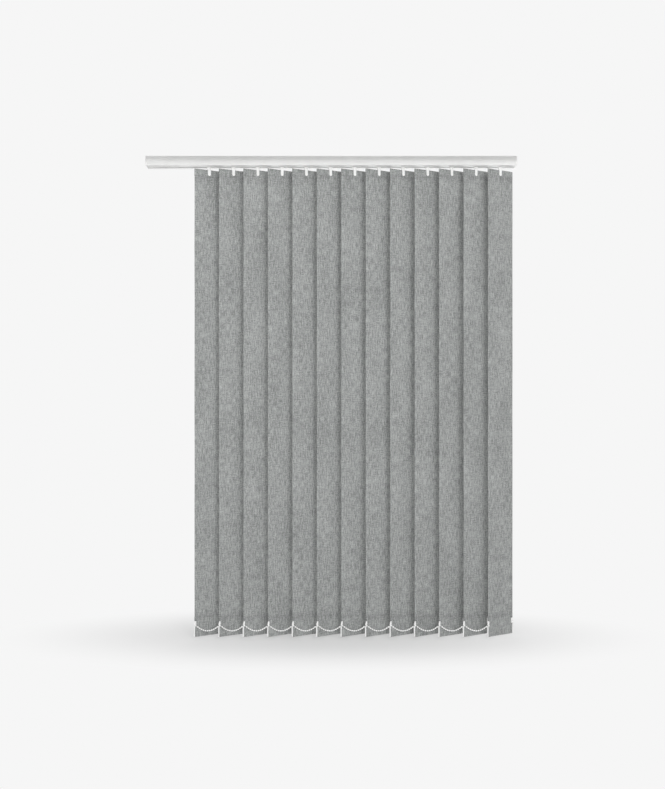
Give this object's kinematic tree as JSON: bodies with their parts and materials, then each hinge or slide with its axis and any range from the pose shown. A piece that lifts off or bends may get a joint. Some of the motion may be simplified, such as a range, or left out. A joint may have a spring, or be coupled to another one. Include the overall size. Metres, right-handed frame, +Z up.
{
  "type": "vertical blind",
  "caption": "Vertical blind with grey fabric louvres hung from geared carriers in a white ceiling-fixed headrail, with bottom weights tied by bead chains.",
  "frame": {"origin": "middle of the ceiling plane that the brackets are screwed to, half way along the headrail", "axes": "+X along the headrail to the right as seen from the room, -Y towards the room, +Z up"},
  "size_m": [1.064, 0.0456, 1.3805],
  "materials": {
    "rail_paint": "white powder coat on extruded aluminium, satin",
    "bracket_steel": "zinc-plated pressed steel",
    "cap_plastic": "white moulded plastic, satin",
    "rod_metal": "mill-finish extruded rod",
    "carrier_plastic": "white moulded acetal",
    "hanger_plastic": "white moulded plastic, light gloss",
    "louvre_fabric": "mid grey linen-look woven cloth with fine vertical slubs",
    "weight_plastic": "white plastic-coated weight with moulded ends",
    "chain_plastic": "white bead chain"
  },
  "bodies": {
    "headrail_body": {"headrail": "rail_paint", "ceiling_brackets": "bracket_steel", "return_end_cap": "cap_plastic", "control_end_cap": "cap_plastic"},
    "tilt_rod_body": {"tilt_rod": "rod_metal"},
    "carrier_01": {"truck_01": "carrier_plastic"},
    "louvre_body_01": {"hanger_01": "hanger_plastic", "louvre_01": "louvre_fabric", "weight_01": "weight_plastic"},
    "carrier_02": {"truck_02": "carrier_plastic"},
    "louvre_body_02": {"hanger_02": "hanger_plastic", "louvre_02": "louvre_fabric", "weight_02": "weight_plastic"},
    "carrier_03": {"truck_03": "carrier_plastic"},
    "louvre_body_03": {"hanger_03": "hanger_plastic", "louvre_03": "louvre_fabric", "weight_03": "weight_plastic"},
    "carrier_04": {"truck_04": "carrier_plastic"},
    "louvre_body_04": {"hanger_04": "hanger_plastic", "louvre_04": "louvre_fabric", "weight_04": "weight_plastic"},
    "carrier_05": {"truck_05": "carrier_plastic"},
    "louvre_body_05": {"hanger_05": "hanger_plastic", "louvre_05": "louvre_fabric", "weight_05": "weight_plastic"},
    "carrier_06": {"truck_06": "carrier_plastic"},
    "louvre_body_06": {"hanger_06": "hanger_plastic", "louvre_06": "louvre_fabric", "weight_06": "weight_plastic"},
    "carrier_07": {"truck_07": "carrier_plastic"},
    "louvre_body_07": {"hanger_07": "hanger_plastic", "louvre_07": "louvre_fabric", "weight_07": "weight_plastic"},
    "carrier_08": {"truck_08": "carrier_plastic"},
    "louvre_body_08": {"hanger_08": "hanger_plastic", "louvre_08": "louvre_fabric", "weight_08": "weight_plastic"},
    "carrier_09": {"truck_09": "carrier_plastic"},
    "louvre_body_09": {"hanger_09": "hanger_plastic", "louvre_09": "louvre_fabric", "weight_09": "weight_plastic"},
    "carrier_10": {"truck_10": "carrier_plastic"},
    "louvre_body_10": {"hanger_10": "hanger_plastic", "louvre_10": "louvre_fabric", "weight_10": "weight_plastic"},
    "carrier_11": {"truck_11": "carrier_plastic"},
    "louvre_body_11": {"hanger_11": "hanger_plastic", "louvre_11": "louvre_fabric", "weight_11": "weight_plastic"},
    "carrier_12": {"truck_12": "carrier_plastic"},
    "louvre_body_12": {"hanger_12": "hanger_plastic", "louvre_12": "louvre_fabric", "weight_12": "weight_plastic"},
    "louvre_body_13": {"hanger_13": "hanger_plastic", "louvre_13": "louvre_fabric", "weight_13": "weight_plastic"},
    "front_chain_body": {"front_chain": "chain_plastic"},
    "front_chain_lead": {"front_chain_end": "chain_plastic"},
    "rear_chain_body": {"rear_chain": "chain_plastic"},
    "rear_chain_lead": {"rear_chain_end": "chain_plastic"}
  },
  "joints": [
    {"name": "traverse_01", "type": "slide", "parent": "headrail_body", "child": "carrier_01", "axis": [1, 0, 0], "range_m": [-0.12, 0.6], "deforming": ["front_chain", "rear_chain"]},
    {"name": "tilt_01", "type": "hinge", "parent": "carrier_01", "child": "louvre_body_01", "pos_m": [-0.3523, 0, -0.03], "axis": [0, 0, 1], "range_deg": [-16, 139]},
    {"name": "traverse_02", "type": "slide", "parent": "headrail_body", "child": "carrier_02", "axis": [1, 0, 0], "range_m": [-0.11, 0.55]},
    {"name": "tilt_02", "type": "hinge", "parent": "carrier_02", "child": "louvre_body_02", "pos_m": [-0.2823, 0, -0.03], "axis": [0, 0, 1], "range_deg": [-16, 139]},
    {"name": "traverse_03", "type": "slide", "parent": "headrail_body", "child": "carrier_03", "axis": [1, 0, 0], "range_m": [-0.1, 0.5]},
    {"name": "tilt_03", "type": "hinge", "parent": "carrier_03", "child": "louvre_body_03", "pos_m": [-0.2123, 0, -0.03], "axis": [0, 0, 1], "range_deg": [-16, 139]},
    {"name": "traverse_04", "type": "slide", "parent": "headrail_body", "child": "carrier_04", "axis": [1, 0, 0], "range_m": [-0.09, 0.45]},
    {"name": "tilt_04", "type": "hinge", "parent": "carrier_04", "child": "louvre_body_04", "pos_m": [-0.1423, 0, -0.03], "axis": [0, 0, 1], "range_deg": [-16, 139]},
    {"name": "traverse_05", "type": "slide", "parent": "headrail_body", "child": "carrier_05", "axis": [1, 0, 0], "range_m": [-0.08, 0.4]},
    {"name": "tilt_05", "type": "hinge", "parent": "carrier_05", "child": "louvre_body_05", "pos_m": [-0.0723, 0, -0.03], "axis": [0, 0, 1], "range_deg": [-16, 139]},
    {"name": "traverse_06", "type": "slide", "parent": "headrail_body", "child": "carrier_06", "axis": [1, 0, 0], "range_m": [-0.07, 0.35]},
    {"name": "tilt_06", "type": "hinge", "parent": "carrier_06", "child": "louvre_body_06", "pos_m": [-0.0023, 0, -0.03], "axis": [0, 0, 1], "range_deg": [-16, 139]},
    {"name": "traverse_07", "type": "slide", "parent": "headrail_body", "child": "carrier_07", "axis": [1, 0, 0], "range_m": [-0.06, 0.3]},
    {"name": "tilt_07", "type": "hinge", "parent": "carrier_07", "child": "louvre_body_07", "pos_m": [0.0677, 0, -0.03], "axis": [0, 0, 1], "range_deg": [-16, 139]},
    {"name": "traverse_08", "type": "slide", "parent": "headrail_body", "child": "carrier_08", "axis": [1, 0, 0], "range_m": [-0.05, 0.25]},
    {"name": "tilt_08", "type": "hinge", "parent": "carrier_08", "child": "louvre_body_08", "pos_m": [0.1377, 0, -0.03], "axis": [0, 0, 1], "range_deg": [-16, 139]},
    {"name": "traverse_09", "type": "slide", "parent": "headrail_body", "child": "carrier_09", "axis": [1, 0, 0], "range_m": [-0.04, 0.2]},
    {"name": "tilt_09", "type": "hinge", "parent": "carrier_09", "child": "louvre_body_09", "pos_m": [0.2077, 0, -0.03], "axis": [0, 0, 1], "range_deg": [-16, 139]},
    {"name": "traverse_10", "type": "slide", "parent": "headrail_body", "child": "carrier_10", "axis": [1, 0, 0], "range_m": [-0.03, 0.15]},
    {"name": "tilt_10", "type": "hinge", "parent": "carrier_10", "child": "louvre_body_10", "pos_m": [0.2777, 0, -0.03], "axis": [0, 0, 1], "range_deg": [-16, 139]},
    {"name": "traverse_11", "type": "slide", "parent": "headrail_body", "child": "carrier_11", "axis": [1, 0, 0], "range_m": [-0.02, 0.1]},
    {"name": "tilt_11", "type": "hinge", "parent": "carrier_11", "child": "louvre_body_11", "pos_m": [0.3477, 0, -0.03], "axis": [0, 0, 1], "range_deg": [-16, 139]},
    {"name": "traverse_12", "type": "slide", "parent": "headrail_body", "child": "carrier_12", "axis": [1, 0, 0], "range_m": [-0.01, 0.05]},
    {"name": "tilt_12", "type": "hinge", "parent": "carrier_12", "child": "louvre_body_12", "pos_m": [0.4177, 0, -0.03], "axis": [0, 0, 1], "range_deg": [-16, 139]},
    {"name": "tilt_13", "type": "hinge", "parent": "headrail_body", "child": "louvre_body_13", "pos_m": [0.4877, 0, -0.03], "axis": [0, 0, 1], "range_deg": [-16, 139]},
    {"name": "rod_spin", "type": "hinge", "parent": "headrail_body", "child": "tilt_rod_body", "pos_m": [0, 0.0072, -0.0116], "axis": [1, 0, 0], "range_deg": [-96, 834]},
    {"name": "front_chain_turn", "type": "hinge", "parent": "louvre_body_13", "child": "front_chain_body", "pos_m": [0.45076, -0.01998, -1.3478], "axis": [0, 0, 1], "range_deg": [-139, 16]},
    {"name": "front_chain_gather", "type": "slide", "parent": "front_chain_body", "child": "front_chain_lead", "axis": [1, 0, 0], "range_m": [-0.12, 0.6]},
    {"name": "rear_chain_turn", "type": "hinge", "parent": "louvre_body_13", "child": "rear_chain_body", "pos_m": [0.52465, 0.01998, -1.3478], "axis": [0, 0, 1], "range_deg": [-139, 16]},
    {"name": "rear_chain_gather", "type": "slide", "parent": "rear_chain_body", "child": "rear_chain_lead", "axis": [1, 0, 0], "range_m": [-0.12, 0.6]}
  ],
  "couplings": [
    {"joint": "tilt_01", "follows": "tilt_13", "ratio": 1},
    {"joint": "traverse_02", "follows": "traverse_01", "ratio": 0.91667},
    {"joint": "tilt_02", "follows": "tilt_13", "ratio": 1},
    {"joint": "traverse_03", "follows": "traverse_01", "ratio": 0.83333},
    {"joint": "tilt_03", "follows": "tilt_13", "ratio": 1},
    {"joint": "traverse_04", "follows": "traverse_01", "ratio": 0.75},
    {"joint": "tilt_04", "follows": "tilt_13", "ratio": 1},
    {"joint": "traverse_05", "follows": "traverse_01", "ratio": 0.66667},
    {"joint": "tilt_05", "follows": "tilt_13", "ratio": 1},
    {"joint": "traverse_06", "follows": "traverse_01", "ratio": 0.58333},
    {"joint": "tilt_06", "follows": "tilt_13", "ratio": 1},
    {"joint": "traverse_07", "follows": "traverse_01", "ratio": 0.5},
    {"joint": "tilt_07", "follows": "tilt_13", "ratio": 1},
    {"joint": "traverse_08", "follows": "traverse_01", "ratio": 0.41667},
    {"joint": "tilt_08", "follows": "tilt_13", "ratio": 1},
    {"joint": "traverse_09", "follows": "traverse_01", "ratio": 0.33333},
    {"joint": "tilt_09", "follows": "tilt_13", "ratio": 1},
    {"joint": "traverse_10", "follows": "traverse_01", "ratio": 0.25},
    {"joint": "tilt_10", "follows": "tilt_13", "ratio": 1},
    {"joint": "traverse_11", "follows": "traverse_01", "ratio": 0.16667},
    {"joint": "tilt_11", "follows": "tilt_13", "ratio": 1},
    {"joint": "traverse_12", "follows": "traverse_01", "ratio": 0.083333},
    {"joint": "tilt_12", "follows": "tilt_13", "ratio": 1},
    {"joint": "rod_spin", "follows": "tilt_13", "ratio": 6},
    {"joint": "front_chain_turn", "follows": "tilt_13", "ratio": -1},
    {"joint": "front_chain_gather", "follows": "traverse_01", "ratio": 1},
    {"joint": "rear_chain_turn", "follows": "tilt_13", "ratio": -1},
    {"joint": "rear_chain_gather", "follows": "traverse_01", "ratio": 1}
  ]
}
